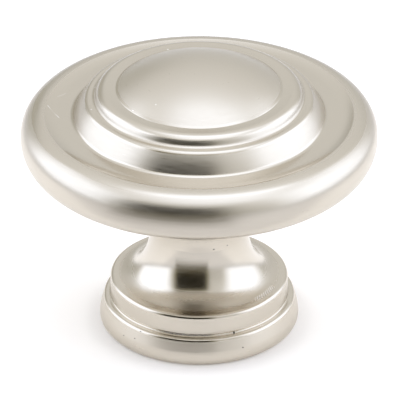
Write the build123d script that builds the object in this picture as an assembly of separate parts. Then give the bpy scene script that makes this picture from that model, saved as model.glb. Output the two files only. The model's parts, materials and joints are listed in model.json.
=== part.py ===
from build123d import *
from math import acos, atan, cos, degrees, radians, sin, tan
import os

# Cast door knob, turned about +Z and standing on its base, all sizes in millimetres.
# The origin is the centre of the base's underside, where the knob meets the door.

# Overall
knob_height = 25.9

# Domed button in the middle of the face
dome_rise = 2.2
dome_edge_angle = 45.0
dome_edge_round = 0.3

# Upper step around the dome: a narrow ledge with a rounded shoulder
upper_ledge_width = 0.93
upper_ledge_dish = 0.05
upper_step_height = 0.93
upper_shoulder_round = 0.9
upper_foot_round = 0.42

# Middle step: a narrow flat and a long sloping face, a little crowned
middle_ledge_width = 0.22
middle_step_height = 1.65
middle_shoulder_round = 0.45
bevel_angle = 56.5
bevel_crown_angle = 12.0
bevel_foot_round = 0.45

# Rim: the widest part, bullnosed, with a face that curves up to a crest inside the bullnose
rim_diameter = 32.0
rim_top_round = 2.15
rim_band_height = 0.25
rim_bottom_round = 2.5
rim_dish_width = 1.1
rim_dish_depth = 0.23
rim_flat_width = 1.15

# Neck, waisted between the head and the base
neck_diameter = 8.9
neck_waist_height = 9.2

# Base: a flange that meets the door, and a collar on top of it
base_diameter = 18.0
base_edge_round = 0.6
flange_belly_height = 1.05
flange_belly_round = 3.0
flange_taper = 0.4
flange_height = 2.6
flange_shoulder_round = 0.32
flange_ledge_width = 0.56
collar_height = 2.06
collar_foot_round = 0.14
collar_edge_round = 0.36
collar_land_width = 0.08

# Hole for a No. 8-32 machine screw, at the thread's minor diameter
screw_hole_diameter = 3.5
screw_hole_depth = 12.0
countersink_diameter = 5.0
countersink_angle = 90.0
drill_tip_angle = 118.0

# Heights of the head, stacked down from the top
upper_level = knob_height - dome_rise
dome_foot_level = upper_level - upper_ledge_dish
middle_level = upper_level - upper_step_height
rim_level = middle_level - middle_step_height
rim_dish_level = rim_level - rim_dish_depth
rim_band_top = rim_level - rim_top_round
rim_band_bottom = rim_band_top - rim_band_height
rim_underside_level = rim_band_bottom - rim_bottom_round

# Height of the base, stacked up from the door
collar_top_level = flange_height + collar_height

# The bevel is an arc that rolls from the hollow at its foot into the shoulder at its top
bevel_foot_angle = radians(bevel_angle + bevel_crown_angle / 2)
bevel_top_angle = radians(bevel_angle - bevel_crown_angle / 2)
bevel_foot_rise = bevel_foot_round * (1 - cos(bevel_foot_angle))
bevel_top_rise = middle_shoulder_round * (1 - cos(bevel_top_angle))
bevel_rise = middle_level - rim_dish_level - bevel_foot_rise - bevel_top_rise
bevel_round = bevel_rise / (cos(bevel_top_angle) - cos(bevel_foot_angle))
bevel_foot_run = (bevel_foot_round + bevel_round) * sin(bevel_foot_angle)
bevel_top_run = (bevel_round - middle_shoulder_round) * sin(bevel_top_angle)

# The upper shoulder's round rolls straight into the hollow at its foot
upper_rounds = upper_shoulder_round + upper_foot_round
upper_wall_angle = acos(1 - upper_step_height / upper_rounds)
upper_step_run = upper_rounds * sin(upper_wall_angle)

# Radii of the head, stepped in from the rim to the dome
rim_radius = rim_diameter / 2
rim_underside_radius = rim_radius - rim_bottom_round
rim_edge_radius = rim_radius - rim_top_round
rim_dish_radius = rim_edge_radius - rim_dish_width
bevel_foot_radius = rim_dish_radius - rim_flat_width
middle_step_radius = bevel_foot_radius - bevel_foot_run + bevel_top_run
upper_foot_radius = middle_step_radius - middle_ledge_width
upper_ledge_radius = upper_foot_radius - upper_step_run
dome_radius = upper_ledge_radius - upper_ledge_width

# The dome is a wide cap that rolls over to a steep edge
cap_reach = dome_radius - dome_edge_round * sin(radians(dome_edge_angle))
cap_drop = knob_height - dome_foot_level - dome_edge_round * (1 - cos(radians(dome_edge_angle)))
cap_angle = 2 * atan(cap_drop / cap_reach)
cap_round = dome_edge_round + cap_reach / sin(cap_angle)

# Radii of the base and neck, stepped in from the flange
base_radius = base_diameter / 2
flange_top_radius = base_radius - flange_taper
collar_radius = flange_top_radius - flange_ledge_width
cove_foot_radius = collar_radius - collar_edge_round - collar_land_width
neck_radius = neck_diameter / 2

# Radii and depths of the hole
hole_radius = screw_hole_diameter / 2
countersink_radius = countersink_diameter / 2
countersink_depth = (countersink_radius - hole_radius) / tan(radians(countersink_angle / 2))
drill_tip_level = screw_hole_depth + hole_radius / tan(radians(drill_tip_angle / 2))


def base_outline():
    """From the countersink's mouth, round the flange and collar, to the foot of the neck's cove."""
    FilletPolyline(
        (countersink_radius, 0),
        (base_radius, 0),
        (base_radius, flange_belly_height),
        (flange_top_radius, flange_height),
        (collar_radius, flange_height),
        (collar_radius, collar_top_level),
        (cove_foot_radius, collar_top_level),
        radius=[
            base_edge_round,
            flange_belly_round,
            flange_shoulder_round,
            collar_foot_round,
            collar_edge_round,
        ],
    )


def neck_outline():
    """A tight cove down to the collar and a longer one up to the underside of the head."""
    EllipticalCenterArc(
        center=(cove_foot_radius, neck_waist_height),
        x_radius=cove_foot_radius - neck_radius,
        y_radius=neck_waist_height - collar_top_level,
        start_angle=180,
        arc_size=90,
    )
    EllipticalCenterArc(
        center=(rim_underside_radius, neck_waist_height),
        x_radius=rim_underside_radius - neck_radius,
        y_radius=rim_underside_level - neck_waist_height,
        start_angle=90,
        arc_size=90,
    )


def rim_outline():
    """Bullnose of the rim, from its underside to its crest, and the hollow face inside the crest."""
    underside = (rim_underside_radius, rim_underside_level)
    band_bottom = (rim_radius, rim_band_bottom)
    band_top = (rim_radius, rim_band_top)
    crest = (rim_edge_radius, rim_level)
    dish_start = (rim_dish_radius, rim_dish_level)
    TangentArc(band_bottom, underside, tangent=(0, -1))
    Line(band_bottom, band_top)
    TangentArc(crest, band_top, tangent=(1, 0))
    TangentArc(dish_start, crest, tangent=(1, 0))
    Line(dish_start, (bevel_foot_radius, rim_dish_level))


def face_outline():
    """Bevel, upper shoulder and dome, from the face of the rim in to the axis."""
    inwards = (-1, 0)
    bevel_foot = (bevel_foot_radius, rim_dish_level)
    upper_foot = (upper_foot_radius, middle_level)
    upper_ledge = (upper_ledge_radius, upper_level)
    dome_foot = (dome_radius, dome_foot_level)
    hollow = JernArc(bevel_foot, inwards, bevel_foot_round, -degrees(bevel_foot_angle))
    bevel = JernArc(hollow @ 1, hollow % 1, bevel_round, bevel_crown_angle)
    shoulder = JernArc(bevel @ 1, bevel % 1, middle_shoulder_round, degrees(bevel_top_angle))
    Line(shoulder @ 1, upper_foot)
    hollow = JernArc(upper_foot, inwards, upper_foot_round, -degrees(upper_wall_angle))
    JernArc(hollow @ 1, hollow % 1, upper_shoulder_round, degrees(upper_wall_angle))
    TangentArc(dome_foot, upper_ledge, tangent=(1, 0))
    cap = JernArc((0, knob_height), (1, 0), cap_round, -degrees(cap_angle))
    JernArc(cap @ 1, cap % 1, dome_edge_round, degrees(cap_angle) - dome_edge_angle)


def hole_outline():
    """Down the axis to the drill tip, then out along the hole to its countersunk mouth."""
    Polyline(
        (0, knob_height),
        (0, drill_tip_level),
        (hole_radius, screw_hole_depth),
        (hole_radius, countersink_depth),
        (countersink_radius, 0),
    )


def knob():
    """The whole knob as one casting, its section turned about the axis."""
    with BuildPart() as part:
        with BuildSketch(Plane.XZ):
            with BuildLine():
                base_outline()
                neck_outline()
                rim_outline()
                face_outline()
                hole_outline()
            make_face()
        revolve(axis=Axis.Z)
    return part.part


os.makedirs("parts", exist_ok=True)
export_step(knob(), "parts/knob.step")
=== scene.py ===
import json
from math import cos, pi, radians, sin

import bpy
import numpy as np
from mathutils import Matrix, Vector


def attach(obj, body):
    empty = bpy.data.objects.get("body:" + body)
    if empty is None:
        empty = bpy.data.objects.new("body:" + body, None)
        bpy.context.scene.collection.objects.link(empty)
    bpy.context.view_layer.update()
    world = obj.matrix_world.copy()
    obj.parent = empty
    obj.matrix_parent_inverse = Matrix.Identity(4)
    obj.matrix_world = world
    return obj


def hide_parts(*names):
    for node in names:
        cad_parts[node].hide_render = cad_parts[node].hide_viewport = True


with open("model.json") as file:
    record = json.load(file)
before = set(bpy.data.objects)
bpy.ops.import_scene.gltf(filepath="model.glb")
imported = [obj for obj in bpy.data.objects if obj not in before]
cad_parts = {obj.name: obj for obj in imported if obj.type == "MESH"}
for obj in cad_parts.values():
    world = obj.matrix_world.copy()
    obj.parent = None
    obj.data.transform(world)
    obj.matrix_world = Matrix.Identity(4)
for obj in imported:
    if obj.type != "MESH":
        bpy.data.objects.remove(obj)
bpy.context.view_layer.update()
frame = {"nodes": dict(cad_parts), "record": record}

# Named sizes and places are in millimetres, and angles in degrees. MM turns millimetres into metres
MM = 0.001

# Lathe: columns round the axis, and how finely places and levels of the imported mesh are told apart
COLUMNS = 192
SAME_PLACE = 0.002
LEVEL_DIGITS = 3

# No. 8-32 thread in the hole, with a flat crest, running out at both ends
THREAD_PITCH = 0.794
THREAD_DEPTH = 0.33
THREAD_ROWS_PER_TURN = 10
THREAD_CREST = 0.12
THREAD_RUN_OUT = 0.8

# Camera, fitted to the photograph
IMAGE_SIDE = 400
CAMERA_TARGET = Vector((0, 0, 12.06))
CAMERA_ELEVATION = 29.85
CAMERA_DISTANCE = 630.5
CAMERA_SENSOR = 36
CAMERA_LENS = 630
CAMERA_CLIP_START = 10
CAMERA_CLIP_END = 10000
TARGET_LEFT_PIXELS = 0.85
TARGET_DOWN_PIXELS = 0.5

# Satin nickel: its colours, and how rough it is on the face, in the cove and along the edges
NICKEL_COLOUR = (0.665, 0.615, 0.53, 1)
NICKEL_CLOUD_COLOUR = (0.645, 0.597, 0.517, 1)
# Painted highlight colour: lightens the glint spots, and each scratch and the scuff where they catch the
# light
WEAR_AND_GLINT_COLOUR = (0.95, 0.93, 0.9, 1)
PIT_COLOUR = (0.05, 0.045, 0.035, 1)
FACE_ROUGHNESS = 0.31
COVE_ROUGHNESS = 0.18
EDGE_ROUGHNESS = 0.16
CLOUD_ROUGHNESS = 0.03
CLOUD_SIZE = 6
NOISE_DETAIL = 2
NOISE_MIDDLE = 0.5

# Heights of the crisp edges, from the flange's shoulder up to the upper shoulder
EDGE_HEIGHTS = ((2.3, 2.85), (4.25, 4.7), (20.8, 21.1), (22.5, 22.85), (23.35, 23.8))
EDGE_FADE = 0.1

# The neck's cove: tooled from its foot up, and smooth from a little higher
COVE_FOOT = 4.2
COVE_SMOOTH_FROM = 5.25
COVE_TOP = 14
COVE_FADE = 0.6
COVE_RADIUS = 7.8
COVE_RADIUS_FADE = 1

# Brushing round the knob
STREAKS_ROUND = 7
STREAK_WIDTH = 0.14
STREAK_DEPTH = 0.0007
STREAK_ROUGHNESS = 0.2

# Tool rings in the cove
RING_RADII = (5.56, 6.7, 6.9, 7.1, 7.27)
RING_WIDTH = 0.12
RING_HEIGHT = 0.004

# Specks, each with its place and radius, that fade from an inner to an outer share of the radius: dark
# pits, and bright spots that are painted highlights
DARK_SPECKS = (
    (3.12, -7.44, 2.66, 0.09),
    (-6.79, -5.78, 1.35, 0.05),
    (-5.79, -6.7, 1.59, 0.05),
    (-5.24, -6.85, 2.41, 0.05),
    (3.93, -7.99, 1.42, 0.06),
    (1.32, -4.26, 9.44, 0.06),
    (2.53, -3.68, 9.51, 0.04),
)
# Painted highlights: bright spots of colour where the dome and the edges catch the light
GLINT_SPOTS = (
    (-2.82, 7.14, 23.65, 0.09),
    (-9.34, 1.58, 22.81, 0.08),
    (-9.6, -2.38, 22.77, 0.07),
    (-5.88, -4.34, 23.75, 0.06),
    (-3.84, -4.59, 24.5, 0.07),
)
SPECK_INNER = 0.7
SPECK_OUTER = 1.3
PIT_DEPTH = 0.02

# Scratches, each with its two ends and its strength, drawn only as painted highlights: lines of lighter
# colour where they catch the light
SCRATCH_GLINTS = (
    ((-13.56, 1.46, 21.04), (-12.54, -0.48, 20.89), 1),
    ((-12.7, 3.34, 20.92), (-11.99, 3.95, 20.89), 0.35),
    ((5.55, -5.81, 2.84), (5.73, -6.1, 2.59), 1),
)
SCRATCH_WIDTH = 0.07
SCRATCH_CORE = SCRATCH_WIDTH / 3
# Share of the painted highlight colour on the glint spots, each scratch and the scuff
BRIGHT_MARK_SHARE = 0.8

# Scuff in the cove, rougher and with a painted sheen of lighter colour, hatched by a wave round the knob
# that slants by so many degrees a millimetre
SCUFF_ANGLES = (45, 67)
SCUFF_RADII = (6.97, 7.4)
SCUFF_FADE = 4
SCUFF_SLANT = 8
SCUFF_STROKES = 2.6
SCUFF_STROKE_RISE = (-0.8, 0.3)
SCUFF_ROUGHNESS = 0.6

# Studio walls, brightness by elevation
WALL_LEVELS = ((-90, 0.72), (10, 0.72), (30, 0.855), (50, 0.94), (62, 1.06), (90, 1.25))

# Dark flag round the camera: azimuth 0 is the camera's side, and 90 is to the right
FLAG_AZIMUTHS = (-50, 18)
FLAG_ELEVATIONS = (-60, 44.5)
FLAG_FADE = 12
FLAG_LEVEL = 0.02
FLAG_GRADE = (-6, 14)
FLAG_FOOT_LEVEL = 0.15

# Soft box overhead, by the angle over from the back and the angle to the side
OVERHEAD_ANGLES = (76, 119)
OVERHEAD_SIDES = (-16, 30)
OVERHEAD_FADE = 22
OVERHEAD_LEVEL = 2.1
OVERHEAD_FRONT_LEVEL = 1.64
OVERHEAD_GRADE = (74, 94)

# Soft boxes at the left and right
LEFT_AZIMUTHS = (-128, -60)
RIGHT_AZIMUTHS = (56, 130)
SIDE_ELEVATIONS = (-20, 50)
LEFT_FADE = 14
RIGHT_FADE = 24
SIDE_LEVEL = 1.8

# Dim patch at the back left
DIM_AZIMUTHS = (-170, -138)
DIM_ELEVATIONS = (-30, 26)
DIM_FADE = 16
DIM_LEVEL = 0.58

# Tint of the light by its brightness, warm where it is dim
LIGHT_TINTS = (
    (0, (1, 0.84, 0.5, 1)),
    (0.2, (1, 0.9, 0.5, 1)),
    (0.45, (1, 0.95, 0.7, 1)),
    (0.62, (1, 0.997, 0.965, 1)),
    (0.9, (1, 1, 1, 1)),
    (1.4, (0.96, 1, 1.1, 1)),
    (2, (0.93, 1, 1.16, 1)),
)

# Pale floor, with a painted pool of white glow round the knob and paler colour inside it, a painted
# contact shadow where the glow is weaker at the base, and painted shade in front where the glow stops
FLOOR_HALF = 3000
FLOOR_COLOUR = (0.91, 0.88, 0.85, 1)
FLOOR_FAR_COLOUR = (0.7, 0.68, 0.655, 1)
FLOOR_GLOW = 0.3
FLOOR_GLOW_COLOUR = (1, 1, 1, 1)
CONTACT_GLOW = 0.16
CONTACT_START = 9
CONTACT_END = 11.2
POOL_START = 65
POOL_END = 120
POOL_FRONT_START = -13.3
POOL_FRONT_END = -17.8

# Dark flag on the floor in front, as wide as the studio's flag, darkening away from the knob
FLOOR_FLAG_COLOUR = (0.17, 0.155, 0.115, 1)
FLOOR_FLAG_START = 30
FLOOR_FLAG_FULL = 85
FLOOR_FLAG_RISE = 0.7
FLOOR_FLAG_END = 1500
FLOOR_FLAG_LIFT = 0.2


def cad_section(mesh):
    """The outline of the turned casting, in order from the dome's top to the hole's tip.

    Each band is (start, end, start normal, end normal), with points and normals as (radius, height).
    """
    near = SAME_PLACE * MM
    places = []
    links = {}

    def find_place(radius, height):
        for index, (r, z) in enumerate(places):
            if abs(r - radius) < near and abs(z - height) < near:
                return index
        places.append((max(radius, 0), height))
        return len(places) - 1

    def link(a, b, normal_a, normal_b):
        links.setdefault(a, {})[b] = (normal_a, normal_b)
        links.setdefault(b, {})[a] = (normal_b, normal_a)

    for polygon in mesh.polygons:
        ends = {}
        for corner in polygon.loop_indices:
            at = mesh.vertices[mesh.loops[corner].vertex_index].co
            if abs(at.y) < near and at.x > -near:
                normal = mesh.corner_normals[corner].vector
                ends[find_place(at.x, at.z)] = (normal.x, normal.z)
        if len(ends) == 2:
            (a, normal_a), (b, normal_b) = ends.items()
            link(a, b, normal_a, normal_b)

    # A flat face has no edge on the seam, so its two circles are joined at their common height
    loose = [p for p in links if len(links[p]) == 1 and places[p][0] > near]
    loose.sort(key=lambda p: (round(places[p][1] / MM, LEVEL_DIGITS), places[p][0]))
    for a, b in zip(loose[::2], loose[1::2]):
        level = (0, 1 if places[a][1] > near else -1)
        link(a, b, level, level)

    on_axis = [p for p in links if places[p][0] <= near]
    here = max(on_axis, key=lambda p: places[p][1])
    last = min(on_axis, key=lambda p: places[p][1])
    bands = []
    before = None
    while here != last:
        after = next(p for p in links[here] if p != before)
        normal_here, normal_after = links[here][after]
        bands.append((places[here], places[after], normal_here, normal_after))
        before, here = here, after
    return bands


def turned_row(point, normal, angles):
    """One ring of positions and normals, from a point of the section."""
    radius, height = point
    out, up = normal
    ring = np.stack([np.cos(angles), np.sin(angles), np.zeros_like(angles)], 1)
    tall = np.array([0, 0, 1])
    return ring * radius + tall * height, ring * out + tall * up


def thread_rows(start, end, angles):
    """Rings up the tapped hole's wall, cut outwards by the helical groove, and their normals."""
    radius, low = start
    high = end[1]
    pitch = THREAD_PITCH * MM
    count = int((high - low) / pitch * THREAD_ROWS_PER_TURN)
    heights = np.linspace(low, high, count + 1)[:, None]
    turn = (heights / pitch - angles[None, :] / (2 * pi)) % 1
    groove = np.clip(np.abs(2 * turn - 1) * (1 + THREAD_CREST) - THREAD_CREST, 0, 1)
    run_out = np.clip(np.minimum(high - heights, heights - low) / (THREAD_RUN_OUT * MM), 0, 1)
    radii = radius + THREAD_DEPTH * MM * groove * run_out
    levels = np.broadcast_to(heights, radii.shape)
    rows = np.stack([radii * np.cos(angles), radii * np.sin(angles), levels], 2)
    along = np.gradient(rows, axis=0)
    wrapped = np.concatenate([rows[:, -1:], rows, rows[:, :1]], 1)
    around = np.gradient(wrapped, axis=1)[:, 1:-1]
    normals = np.cross(along, around)
    normals /= np.linalg.norm(normals, axis=2, keepdims=True)
    return rows, normals


def is_hole_wall(band, hole_radius):
    """Whether a band of the section is the straight wall of the screw hole."""
    (start_radius, _), (end_radius, _), _, _ = band
    return all(abs(radius - hole_radius) < SAME_PLACE * MM for radius in (start_radius, end_radius))


def knob_bands():
    """Bands of the knob, dome first, each as two rings of positions and two rings of normals."""
    angles = np.arange(COLUMNS) * 2 * pi / COLUMNS
    hole = next(m for m in frame["record"]["mounts"] if m["name"] == "screw_hole")
    hole_radius = hole["dims"]["r_mm"] * MM
    bands = []
    for band in cad_section(frame["nodes"]["knob"].data):
        start, end, start_normal, end_normal = band
        first_row, first_normals = turned_row(start, start_normal, angles)
        last_row, last_normals = turned_row(end, end_normal, angles)
        if is_hole_wall(band, hole_radius):
            rows, normals = thread_rows(start, end, angles)
            rows[0], rows[-1] = first_row, last_row
            for i in range(len(rows) - 1):
                bands.append((rows[i], rows[i + 1], normals[i], normals[i + 1]))
        else:
            bands.append((first_row, last_row, first_normals, last_normals))
    return bands


def build_knob():
    """The whole knob as one closed mesh, with the casting's own normals."""
    bands = knob_bands()
    rings = [bands[0][0]] + [band[1] for band in bands]
    vertices = []
    first_vertex = []
    for index, ring in enumerate(rings):
        first_vertex.append(len(vertices))
        is_pole = index in (0, len(rings) - 1)
        vertices.extend(ring[:1].tolist() if is_pole else ring.tolist())
    faces = []
    normals = []
    last = len(bands) - 1
    for index, (_, _, start_normals, end_normals) in enumerate(bands):
        a, b = first_vertex[index], first_vertex[index + 1]
        for j in range(COLUMNS):
            k = (j + 1) % COLUMNS
            if index == 0:
                faces.append((a, b + j, b + k))
                normals += [start_normals[j], end_normals[j], end_normals[k]]
            elif index == last:
                faces.append((a + j, b, a + k))
                normals += [start_normals[j], end_normals[j], start_normals[k]]
            else:
                faces.append((a + j, b + j, b + k, a + k))
                normals += [start_normals[j], end_normals[j], end_normals[k], start_normals[k]]
    mesh = bpy.data.meshes.new("knob_body")
    mesh.from_pydata(vertices, [], faces)
    mesh.shade_smooth()
    mesh.normals_split_custom_set(np.array(normals).tolist())
    knob = bpy.data.objects.new("knob_body", mesh)
    bpy.context.scene.collection.objects.link(knob)
    return knob


class Graph:
    """A node tree, with short calls for the nodes used here."""

    def __init__(self, owner):
        owner.use_nodes = True
        self.tree = owner.node_tree

    def set(self, socket, value):
        """Give a socket a number or colour, or link another node's output to it."""
        if isinstance(value, bpy.types.NodeSocket):
            self.tree.links.new(value, socket)
        else:
            socket.default_value = value

    def node(self, kind, inputs, **settings):
        """A new node with these inputs and settings."""
        node = self.tree.nodes.new(kind)
        for name, value in settings.items():
            setattr(node, name, value)
        for key, value in inputs.items():
            self.set(node.inputs[key], value)
        return node

    def math(self, operation, first, second=0.0):
        """The result of a math node."""
        return self.node("ShaderNodeMath", {0: first, 1: second}, operation=operation).outputs[0]

    def vector(self, operation, *vectors, **inputs):
        """The vector that a vector math node gives."""
        inputs.update(enumerate(vectors))
        return self.node("ShaderNodeVectorMath", inputs, operation=operation).outputs["Vector"]

    def measure(self, operation, *vectors):
        """The number that a vector math node gives."""
        inputs = dict(enumerate(vectors))
        return self.node("ShaderNodeVectorMath", inputs, operation=operation).outputs["Value"]

    def place(self):
        """Where a point lies on its object, in millimetres."""
        metres = self.node("ShaderNodeTexCoord", {}).outputs["Object"]
        return self.vector("SCALE", metres, Scale=1 / MM)

    def split(self, vector):
        """The x, y and z of a vector."""
        return self.node("ShaderNodeSeparateXYZ", {0: vector}).outputs

    def azimuth(self, x, y):
        """The angle round the axis in degrees, 0 at the front and 90 to the right."""
        front = self.math("MULTIPLY", y, -1.0)
        return self.math("DEGREES", self.math("ARCTAN2", x, front))

    def rise(self, value, start, end, shape="LINEAR"):
        """0 before start and 1 after end, with a straight rise between them, or one of another shape."""
        inputs = {"Value": value, "From Min": start, "From Max": end}
        return self.node("ShaderNodeMapRange", inputs, interpolation_type=shape).outputs[0]

    def step(self, value, start, end):
        """0 before start and 1 after end, with a smooth rise between them."""
        return self.rise(value, start, end, "SMOOTHSTEP")

    def between(self, value, low, high, soft):
        """1 between low and high, fading to 0 over the given softness at each end."""
        rise = self.step(value, low - soft / 2, low + soft / 2)
        fall = self.step(value, high + soft / 2, high - soft / 2)
        return self.math("MULTIPLY", rise, fall)

    def mix(self, share, first, second):
        """One number passing into another."""
        return self.node("ShaderNodeMix", {0: share, 2: first, 3: second}, data_type="FLOAT").outputs[0]

    def tint(self, share, first, second):
        """One colour passing into another."""
        return self.node("ShaderNodeMix", {0: share, 6: first, 7: second}, data_type="RGBA").outputs[2]

    def noise(self, place, scale):
        """A noise texture's value."""
        inputs = {"Vector": place, "Scale": scale, "Detail": NOISE_DETAIL}
        return self.node("ShaderNodeTexNoise", inputs).outputs[0]

    def add_all(self, values):
        """The sum of several numbers."""
        total = values[0]
        for value in values[1:]:
            total = self.math("ADD", total, value)
        return total

    def most(self, values):
        """The largest of several numbers."""
        top = values[0]
        for value in values[1:]:
            top = self.math("MAXIMUM", top, value)
        return top


class Turned:
    """Where a point of the knob lies, along and round the axis and across the brushing."""

    def __init__(self, graph):
        self.place = graph.place()
        x, y, self.height = graph.split(self.place)
        flat = graph.node("ShaderNodeCombineXYZ", {"X": x, "Y": y}).outputs[0]
        self.radius = graph.measure("LENGTH", flat)
        self.around = graph.vector("NORMALIZE", flat)
        self.angle = graph.azimuth(x, y)
        self.across = graph.math("SUBTRACT", self.height, self.radius)


def brushing(graph, turned):
    """Fine streaks round the knob, from -0.5 to 0.5."""
    x, y, _ = graph.split(turned.around)
    x = graph.math("MULTIPLY", x, STREAKS_ROUND)
    y = graph.math("MULTIPLY", y, STREAKS_ROUND)
    across = graph.math("DIVIDE", turned.across, STREAK_WIDTH)
    place = graph.node("ShaderNodeCombineXYZ", {"X": x, "Y": y, "Z": across}).outputs[0]
    return graph.math("SUBTRACT", graph.noise(place, 1.0), NOISE_MIDDLE)


def specks(graph, turned, marks):
    """1 on each small round spot, a pit or a painted highlight, given as x, y, z and radius."""
    masks = []
    for x, y, z, radius in marks:
        away = graph.measure("DISTANCE", turned.place, (x, y, z))
        masks.append(graph.step(away, radius * SPECK_OUTER, radius * SPECK_INNER))
    return graph.most(masks)


def scratch_glints(graph, turned, marks):
    """Each straight scratch at its strength, given as its two ends and that strength, for its painted
    highlight.
    """
    masks = []
    for start, end, strength in marks:
        along = Vector(end) - Vector(start)
        from_start = graph.vector("SUBTRACT", turned.place, start)
        share = graph.measure("DOT_PRODUCT", from_start, tuple(along / along.length_squared))
        share = graph.node("ShaderNodeClamp", {"Value": share}).outputs[0]
        nearest = graph.vector("SCALE", tuple(along), Scale=share)
        away = graph.measure("DISTANCE", from_start, nearest)
        line = graph.step(away, SCRATCH_WIDTH, SCRATCH_CORE)
        masks.append(graph.math("MULTIPLY", line, strength))
    return graph.most(masks)


def cove(graph, turned, low):
    """1 in the neck's cove above this height."""
    mask = graph.between(turned.height, low, COVE_TOP, COVE_FADE)
    inside = graph.step(turned.radius, COVE_RADIUS + COVE_RADIUS_FADE, COVE_RADIUS)
    return graph.math("MULTIPLY", mask, inside)


def cove_rings(graph, turned, tooled):
    """Ridges left by the turning tool low in the cove."""
    ridges = [graph.between(turned.radius, radius, radius, RING_WIDTH) for radius in RING_RADII]
    return graph.math("MULTIPLY", graph.most(ridges), tooled)


def scuff(graph, turned, tooled):
    """A hatched scuff on the right of the cove, made rougher and painted lighter as a sheen."""
    arc = graph.between(turned.angle, *SCUFF_ANGLES, SCUFF_FADE)
    band = graph.between(turned.radius, *SCUFF_RADII, RING_WIDTH)
    patch = graph.math("MULTIPLY", arc, band)
    slant = graph.math("MULTIPLY", turned.radius, SCUFF_SLANT)
    wave = graph.math("MULTIPLY", graph.math("ADD", turned.angle, slant), SCUFF_STROKES)
    strokes = graph.step(graph.math("SINE", wave), *SCUFF_STROKE_RISE)
    return graph.math("MULTIPLY", graph.math("MULTIPLY", patch, strokes), tooled)


def satin_nickel():
    """Satin nickel plate, brushed round the knob, smoother in the cove and at the edges, and worn, with
    highlights painted into its colour on spots, on each scratch and on the scuff.
    """
    material = bpy.data.materials.new("satin_nickel")
    graph = Graph(material)
    turned = Turned(graph)
    streaks = brushing(graph, turned)
    clouds = graph.noise(turned.place, 1 / CLOUD_SIZE)
    in_cove = cove(graph, turned, COVE_SMOOTH_FROM)
    tooled = cove(graph, turned, COVE_FOOT)

    dark = specks(graph, turned, DARK_SPECKS)
    scuff_and_sheen = scuff(graph, turned, tooled)
    scratch_glint = scratch_glints(graph, turned, SCRATCH_GLINTS)
    # Painted highlights: the glint spots, each scratch and the scuff are made lighter in colour, as
    # where they catch the light
    bright = graph.most([specks(graph, turned, GLINT_SPOTS), scratch_glint, scuff_and_sheen])
    colour = graph.tint(clouds, NICKEL_COLOUR, NICKEL_CLOUD_COLOUR)
    colour = graph.tint(graph.math("MULTIPLY", bright, BRIGHT_MARK_SHARE), colour, WEAR_AND_GLINT_COLOUR)
    colour = graph.tint(dark, colour, PIT_COLOUR)

    edges = [graph.between(turned.height, low, high, EDGE_FADE) for low, high in EDGE_HEIGHTS]
    roughness = graph.mix(graph.most(edges), FACE_ROUGHNESS, EDGE_ROUGHNESS)
    roughness = graph.mix(in_cove, roughness, COVE_ROUGHNESS)
    roughness = graph.mix(scuff_and_sheen, roughness, SCUFF_ROUGHNESS)
    roughness = graph.math("ADD", roughness, graph.math("MULTIPLY", streaks, STREAK_ROUGHNESS))
    roughness = graph.math("ADD", roughness, graph.math("MULTIPLY", clouds, CLOUD_ROUGHNESS))

    # The relief is in millimetres, which the bump's distance turns into metres
    relief = graph.add_all(
        [
            graph.math("MULTIPLY", streaks, STREAK_DEPTH),
            graph.math("MULTIPLY", cove_rings(graph, turned, tooled), RING_HEIGHT),
            graph.math("MULTIPLY", dark, -PIT_DEPTH),
        ]
    )
    bump = graph.node("ShaderNodeBump", {"Height": relief, "Distance": MM})

    shader = graph.tree.nodes["Principled BSDF"]
    shader.inputs["Metallic"].default_value = 1
    graph.set(shader.inputs["Base Color"], colour)
    graph.set(shader.inputs["Roughness"], roughness)
    graph.set(shader.inputs["Normal"], bump.outputs[0])
    return material


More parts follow.
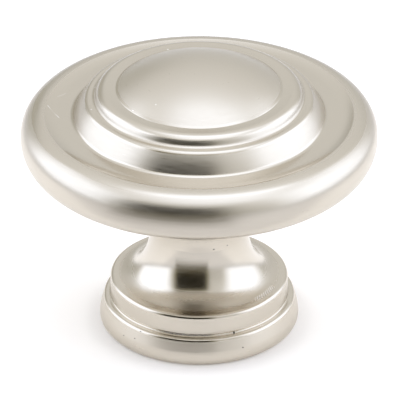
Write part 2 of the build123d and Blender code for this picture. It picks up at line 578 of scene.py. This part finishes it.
def studio_world():
    """Grey walls, three soft boxes, a dim patch at the back left and a dark flag round the camera."""
    world = bpy.data.worlds.new("studio")
    bpy.context.scene.world = world
    graph = Graph(world)
    direction = graph.node("ShaderNodeTexCoord", {}).outputs["Generated"]
    x, y, z = graph.split(direction)
    elevation = graph.math("DEGREES", graph.math("ARCSINE", z))
    azimuth = graph.azimuth(x, y)
    over = graph.math("DEGREES", graph.math("ARCTAN2", z, y))
    sideways = graph.math("DEGREES", graph.math("ARCSINE", x))

    level = WALL_LEVELS[0][1]
    for (low, _), (high, brightness) in zip(WALL_LEVELS, WALL_LEVELS[1:]):
        level = graph.mix(graph.rise(elevation, low, high), level, brightness)
    flag = graph.mix(graph.step(elevation, *FLAG_GRADE), FLAG_FOOT_LEVEL, FLAG_LEVEL)
    overhead = graph.mix(graph.step(over, *OVERHEAD_GRADE), OVERHEAD_LEVEL, OVERHEAD_FRONT_LEVEL)
    patches = [
        (azimuth, DIM_AZIMUTHS, elevation, DIM_ELEVATIONS, DIM_FADE, DIM_LEVEL),
        (azimuth, FLAG_AZIMUTHS, elevation, FLAG_ELEVATIONS, FLAG_FADE, flag),
        (over, OVERHEAD_ANGLES, sideways, OVERHEAD_SIDES, OVERHEAD_FADE, overhead),
        (azimuth, LEFT_AZIMUTHS, elevation, SIDE_ELEVATIONS, LEFT_FADE, SIDE_LEVEL),
        (azimuth, RIGHT_AZIMUTHS, elevation, SIDE_ELEVATIONS, RIGHT_FADE, SIDE_LEVEL),
    ]
    for first, first_range, second, second_range, fade, brightness in patches:
        patch = graph.math(
            "MULTIPLY",
            graph.between(first, *first_range, fade),
            graph.between(second, *second_range, fade),
        )
        level = graph.mix(patch, level, brightness)

    brightest = LIGHT_TINTS[-1][0]
    ramp = graph.node("ShaderNodeValToRGB", {0: graph.math("DIVIDE", level, brightest)})
    stops = ramp.color_ramp.elements
    while len(stops) < len(LIGHT_TINTS):
        stops.new(1)
    for stop, (brightness, colour) in zip(stops, LIGHT_TINTS):
        stop.position = brightness / brightest
        stop.color = colour
    background = graph.tree.nodes["Background"]
    graph.set(background.inputs["Strength"], level)
    graph.set(background.inputs["Color"], ramp.outputs[0])


def plane(name, corners):
    """A flat mesh object with these corners, given in millimetres."""
    mesh = bpy.data.meshes.new(name)
    places = [tuple(size * MM for size in corner) for corner in corners]
    mesh.from_pydata(places, [], [tuple(range(len(corners)))])
    item = bpy.data.objects.new(name, mesh)
    bpy.context.scene.collection.objects.link(item)
    return item


def matt(name):
    """A new matt material, with its graph and its shader."""
    material = bpy.data.materials.new(name)
    graph = Graph(material)
    shader = graph.tree.nodes["Principled BSDF"]
    shader.inputs["Roughness"].default_value = 1
    shader.inputs["Specular IOR Level"].default_value = 0
    return material, graph, shader


def studio_floor():
    """A wide pale floor with a painted white glow around the knob and behind it, painted shade in front,
    a painted contact shadow at the base, and the knob's own shadow.
    """
    half = FLOOR_HALF
    floor = plane("floor", [(-half, -half, 0), (half, -half, 0), (half, half, 0), (-half, half, 0)])
    material, graph, shader = matt("pale_floor")
    rays = graph.node("ShaderNodeLightPath", {}).outputs
    seen = graph.most([rays["Is Camera Ray"], rays["Is Glossy Ray"], rays["Is Transmission Ray"]])
    place = graph.place()
    away = graph.measure("LENGTH", place)
    _, y, _ = graph.split(place)
    # Painted pool of light: the floor glows, and is paler in colour, within the pool round the knob
    pool = graph.step(away, POOL_END, POOL_START)
    # Painted shade in front: the glow stops on the floor in front of the knob
    front = graph.step(y, POOL_FRONT_END, POOL_FRONT_START)
    # Painted contact shadow: the glow is weaker where the base meets the floor
    glow = graph.mix(graph.step(away, CONTACT_START, CONTACT_END), CONTACT_GLOW, FLOOR_GLOW)
    lit = graph.math("MULTIPLY", seen, graph.math("MULTIPLY", pool, front))
    graph.set(shader.inputs["Base Color"], graph.tint(pool, FLOOR_FAR_COLOUR, FLOOR_COLOUR))
    graph.set(shader.inputs["Emission Strength"], graph.math("MULTIPLY", lit, glow))
    shader.inputs["Emission Color"].default_value = FLOOR_GLOW_COLOUR
    floor.data.materials.append(material)


def front_flag():
    """A dark flag low in front of the knob, outside the picture, seen only in the metal."""
    left, right = [radians(azimuth) for azimuth in FLAG_AZIMUTHS]
    near, far = FLOOR_FLAG_START, FLOOR_FLAG_END
    corners = []
    for distance, angle in ((near, left), (far, left), (far, right), (near, right)):
        corners.append((distance * sin(angle), -distance * cos(angle), FLOOR_FLAG_LIFT))
    flag = plane("front_flag", corners)
    material, graph, shader = matt("dark_flag")
    shader.inputs["Base Color"].default_value = FLOOR_FLAG_COLOUR
    away = graph.measure("LENGTH", graph.place())
    rise = graph.rise(away, FLOOR_FLAG_START, FLOOR_FLAG_FULL)
    graph.set(shader.inputs["Alpha"], graph.math("POWER", rise, FLOOR_FLAG_RISE))
    flag.data.materials.append(material)
    flag.visible_camera = False
    flag.visible_diffuse = False
    flag.visible_shadow = False


def photo_camera():
    """The photograph's camera: a long lens, about 30 degrees up."""
    data = bpy.data.cameras.new("camera")
    data.sensor_width = CAMERA_SENSOR
    data.lens = CAMERA_LENS
    data.shift_x = TARGET_LEFT_PIXELS / IMAGE_SIDE
    data.shift_y = TARGET_DOWN_PIXELS / IMAGE_SIDE
    data.clip_start = CAMERA_CLIP_START * MM
    data.clip_end = CAMERA_CLIP_END * MM
    camera = bpy.data.objects.new("camera", data)
    elevation = radians(CAMERA_ELEVATION)
    towards = Vector((0, -cos(elevation), sin(elevation)))
    camera.location = (CAMERA_TARGET + towards * CAMERA_DISTANCE) * MM
    camera.rotation_euler = (-towards).to_track_quat("-Z", "Y").to_euler()
    bpy.context.scene.collection.objects.link(camera)
    bpy.context.scene.camera = camera


knob = build_knob()
knob.data.materials.append(satin_nickel())
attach(knob, "root")
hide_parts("knob")

studio_world()
studio_floor()
front_flag()
photo_camera()
bpy.context.scene.view_settings.view_transform = "Standard"
